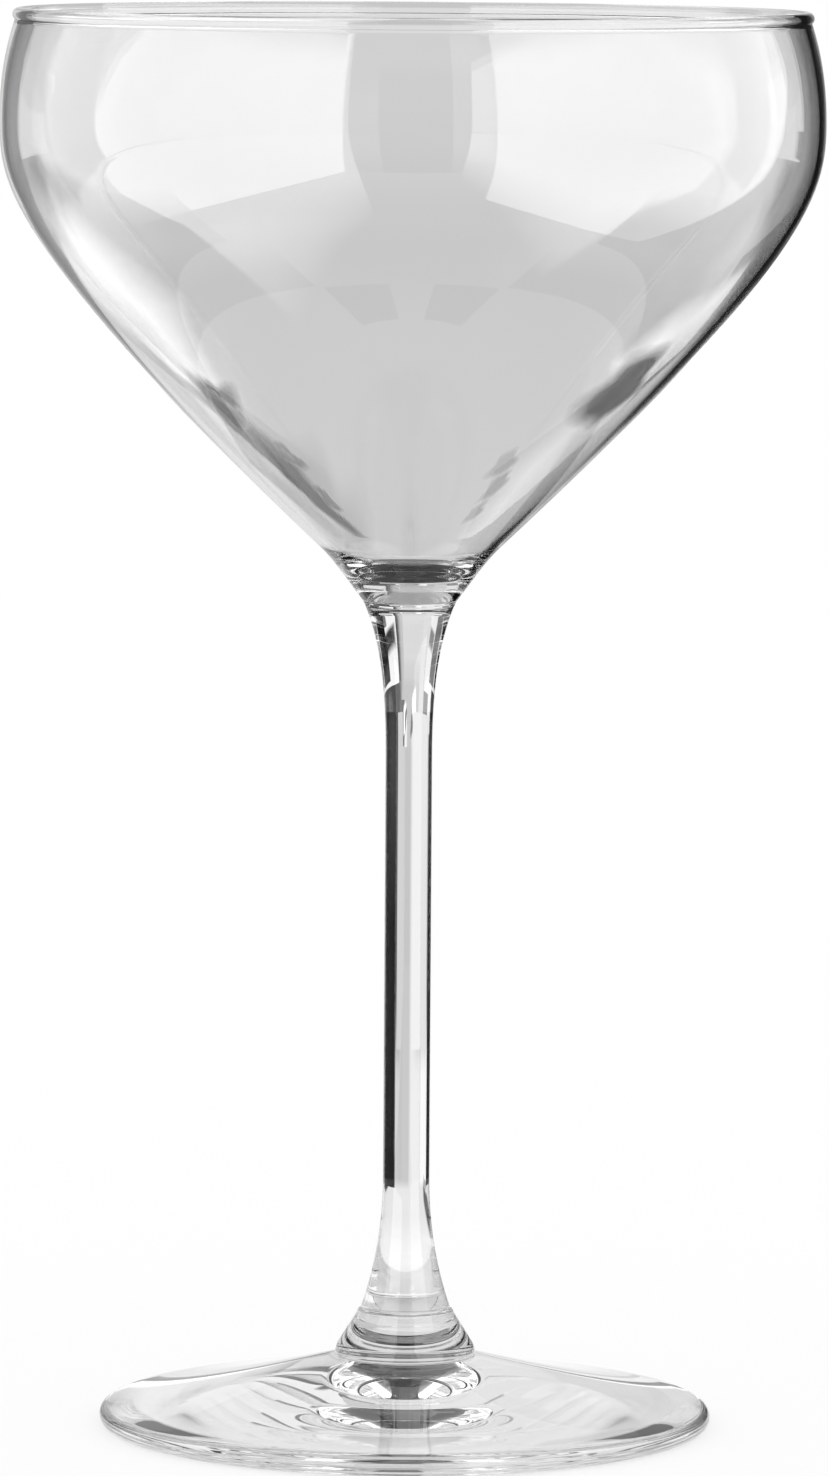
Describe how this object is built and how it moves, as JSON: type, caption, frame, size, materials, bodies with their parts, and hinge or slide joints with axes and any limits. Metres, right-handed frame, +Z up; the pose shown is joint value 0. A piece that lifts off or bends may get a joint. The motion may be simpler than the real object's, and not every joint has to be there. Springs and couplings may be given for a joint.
{
  "type": "champagne glass",
  "caption": "Clear stemmed champagne saucer: wide rounded bowl with a beaded rim, slim drawn stem, flared collar and round foot, for serving sparkling wine.",
  "frame": {"origin": "centre of the resting ring under the foot, on the surface that the glass stands on", "axes": "+Z up along the stem, the axis that every piece is turned about; X and Y are alike"},
  "size_m": [0.1018, 0.1018, 0.176],
  "materials": {
    "foot_glass": "clear, fire-polished, smooth",
    "collar_glass": "clear, fire-polished, smooth",
    "stem_glass": "clear, fire-polished, smooth",
    "bowl_glass": "clear, thin blown wall, fire-polished rim"
  },
  "bodies": {
    "root": {"foot": "foot_glass", "collar": "collar_glass", "stem": "stem_glass", "bowl": "bowl_glass"}
  },
  "joints": []
}
